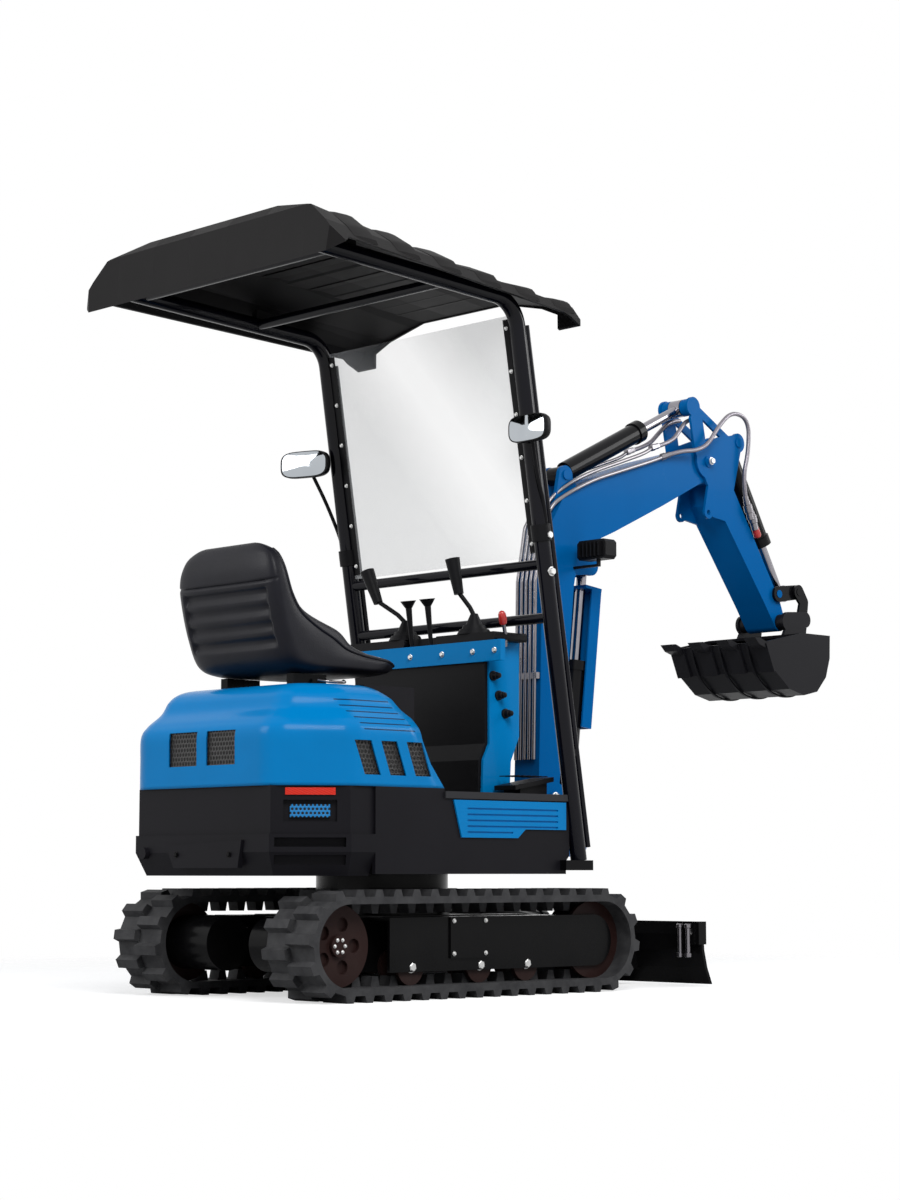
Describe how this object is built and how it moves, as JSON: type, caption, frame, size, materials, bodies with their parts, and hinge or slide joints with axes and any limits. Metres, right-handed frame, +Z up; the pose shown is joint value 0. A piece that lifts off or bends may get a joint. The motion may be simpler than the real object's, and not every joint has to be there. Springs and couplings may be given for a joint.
{
  "type": "mini excavator",
  "caption": "Small tracked excavator with open canopy, operator seat, front blade, swinging boom, dipper and toothed bucket worked by hydraulic cylinders.",
  "frame": {"origin": "on the ground under the middle of the machine's outline in the stored pose", "axes": "+X forward towards the bucket, +Y to the operator's left, +Z up"},
  "size_m": [2.7154, 1.1965, 2.2487],
  "materials": {
    "undercarriage_black": "gloss black paint",
    "dark_steel": "dark painted steel",
    "track_rubber": "matte rubber",
    "barrel_black": "gloss black paint",
    "chrome_rod": "polished chrome",
    "black_moulding": "textured black moulding",
    "floor_grey": "dark grey tread plate",
    "blue_paint": "gloss blue paint",
    "arm_blue": "gloss blue paint",
    "seat_vinyl": "black vinyl",
    "bare_steel": "bright steel",
    "black_plastic": "black plastic",
    "tube_black": "gloss navy-black paint",
    "clear_sheet": "clear sheet",
    "bucket_grey": "charcoal paint",
    "red_lens": "red lens"
  },
  "bodies": {
    "undercarriage": {"chassis": "undercarriage_black", "track_frames": "undercarriage_black", "sprockets": "dark_steel", "idlers": "dark_steel", "rollers": "dark_steel", "travel_motors": "undercarriage_black", "track_left": "track_rubber", "track_right": "track_rubber"},
    "blade_arm": {"blade": "undercarriage_black"},
    "blade_barrel": {"blade_ram_barrel": "barrel_black"},
    "blade_rod": {"blade_ram_rod": "chrome_rod"},
    "house": {"slew_deck": "undercarriage_black", "counterweight": "black_moulding", "reflectors": "red_lens", "corner_vents": "blue_paint", "skirts": "black_moulding", "skirt_inserts": "blue_paint", "floor_plate": "floor_grey", "engine_hood": "blue_paint", "hood_grilles": "black_plastic", "engine": "dark_steel", "seat_box": "black_moulding", "seat": "seat_vinyl", "seat_rails": "bare_steel", "console": "blue_paint", "console_panel": "black_plastic", "joysticks": "black_plastic", "levers": "black_plastic", "pedal": "black_plastic", "canopy_tubes": "tube_black", "post_rails": "tube_black", "crossbars": "tube_black", "roof": "black_moulding", "windshield": "clear_sheet", "mirrors": "black_plastic"},
    "swing_post": {"swing_bracket": "arm_blue"},
    "boom_arm": {"boom": "arm_blue", "boom_pipes": "bare_steel", "work_lamp": "black_plastic"},
    "boom_barrel": {"boom_ram_barrel": "barrel_black"},
    "boom_rod": {"boom_ram_rod": "chrome_rod", "boom_ram_guard": "arm_blue"},
    "dipper_barrel": {"dipper_ram_barrel": "barrel_black"},
    "dipper_rod": {"dipper_ram_rod": "chrome_rod"},
    "dipper_arm": {"dipper": "arm_blue"},
    "bucket_barrel": {"bucket_ram_barrel": "barrel_black"},
    "bucket_rod": {"bucket_ram_rod": "chrome_rod"},
    "rocker_pair": {"rocker": "barrel_black"},
    "link_yoke": {"bucket_link": "barrel_black"},
    "bucket_body": {"bucket": "bucket_grey", "bucket_teeth": "bucket_grey"}
  },
  "joints": [
    {"name": "slew", "type": "hinge", "parent": "undercarriage", "child": "house", "pos_m": [-0.63272, 0, 0.302], "axis": [0, 0, 1], "continuous": true},
    {"name": "boom_swing", "type": "hinge", "parent": "house", "child": "swing_post", "pos_m": [-0.07272, 0, 0.466], "axis": [0, 0, 1], "range_deg": [-45, 55]},
    {"name": "boom_lift", "type": "hinge", "parent": "swing_post", "child": "boom_arm", "pos_m": [0.04727, 0, 0.6], "axis": [0, -1, 0], "range_deg": [-85, 12]},
    {"name": "dipper_crowd", "type": "hinge", "parent": "boom_arm", "child": "dipper_arm", "pos_m": [0.84227, 0, 1.78], "axis": [0, 1, 0], "range_deg": [-55, 45]},
    {"name": "bucket_dump", "type": "hinge", "parent": "dipper_arm", "child": "bucket_body", "pos_m": [1.22527, 0, 1.244], "axis": [0, -1, 0], "range_deg": [-28, 88]},
    {"name": "blade_lift", "type": "hinge", "parent": "undercarriage", "child": "blade_arm", "pos_m": [-0.20272, 0, 0.13], "axis": [0, -1, 0], "range_deg": [-18, 22]},
    {"name": "boom_ram_turn", "type": "hinge", "parent": "swing_post", "child": "boom_barrel", "pos_m": [0.15927, 0, 0.455], "axis": [0, -1, 0], "range_deg": [-81.99, 12]},
    {"name": "boom_ram_stroke", "type": "slide", "parent": "boom_barrel", "child": "boom_rod", "axis": [0.1172, 0, 0.9931], "range_m": [-0.2384, 0.0345]},
    {"name": "dipper_ram_turn", "type": "hinge", "parent": "boom_arm", "child": "dipper_barrel", "pos_m": [0.14727, 0, 1.66], "axis": [0, -1, 0], "range_deg": [-0.78, 0.73]},
    {"name": "dipper_ram_stroke", "type": "slide", "parent": "dipper_barrel", "child": "dipper_rod", "axis": [0.8973, 0, 0.4414], "range_m": [-0.169, 0.1384]},
    {"name": "bucket_ram_turn", "type": "hinge", "parent": "dipper_arm", "child": "bucket_barrel", "pos_m": [1.00727, 0, 1.865], "axis": [0, -1, 0], "range_deg": [-2.71, 1.2]},
    {"name": "bucket_ram_stroke", "type": "slide", "parent": "bucket_barrel", "child": "bucket_rod", "axis": [0.5072, 0, -0.8618], "range_m": [-0.1162, 0.0377]},
    {"name": "blade_ram_turn", "type": "hinge", "parent": "undercarriage", "child": "blade_barrel", "pos_m": [-0.26772, 0, 0.262], "axis": [0, -1, 0], "range_deg": [-15.77, 19.16]},
    {"name": "blade_ram_stroke", "type": "slide", "parent": "blade_barrel", "child": "blade_rod", "axis": [0.9842, 0, -0.1768], "range_m": [-0.0471, 0.0387]},
    {"name": "rocker_turn", "type": "hinge", "parent": "dipper_arm", "child": "rocker_pair", "pos_m": [1.20956, 0, 1.34339], "axis": [0, -1, 0], "range_deg": [-28.5, 88.5]},
    {"name": "link_turn", "type": "hinge", "parent": "bucket_body", "child": "link_yoke", "pos_m": [1.32243, 0, 1.25687], "axis": [0, -1, 0], "range_deg": [-88.5, 28.5]}
  ],
  "couplings": [
    {"joint": "boom_ram_turn", "follows": "boom_lift", "ratio": 0.9587},
    {"joint": "boom_ram_stroke", "follows": "boom_lift", "m_per_rad": 0.16},
    {"joint": "dipper_ram_turn", "follows": "dipper_crowd", "ratio": 0.005},
    {"joint": "dipper_ram_stroke", "follows": "dipper_crowd", "m_per_rad": 0.175},
    {"joint": "bucket_ram_turn", "follows": "bucket_dump", "ratio": -0.0251},
    {"joint": "bucket_ram_stroke", "follows": "bucket_dump", "m_per_rad": -0.075},
    {"joint": "blade_ram_turn", "follows": "blade_lift", "ratio": 0.8483},
    {"joint": "blade_ram_stroke", "follows": "blade_lift", "m_per_rad": -0.12},
    {"joint": "rocker_turn", "follows": "bucket_dump", "ratio": 1},
    {"joint": "link_turn", "follows": "bucket_dump", "ratio": -1}
  ]
}
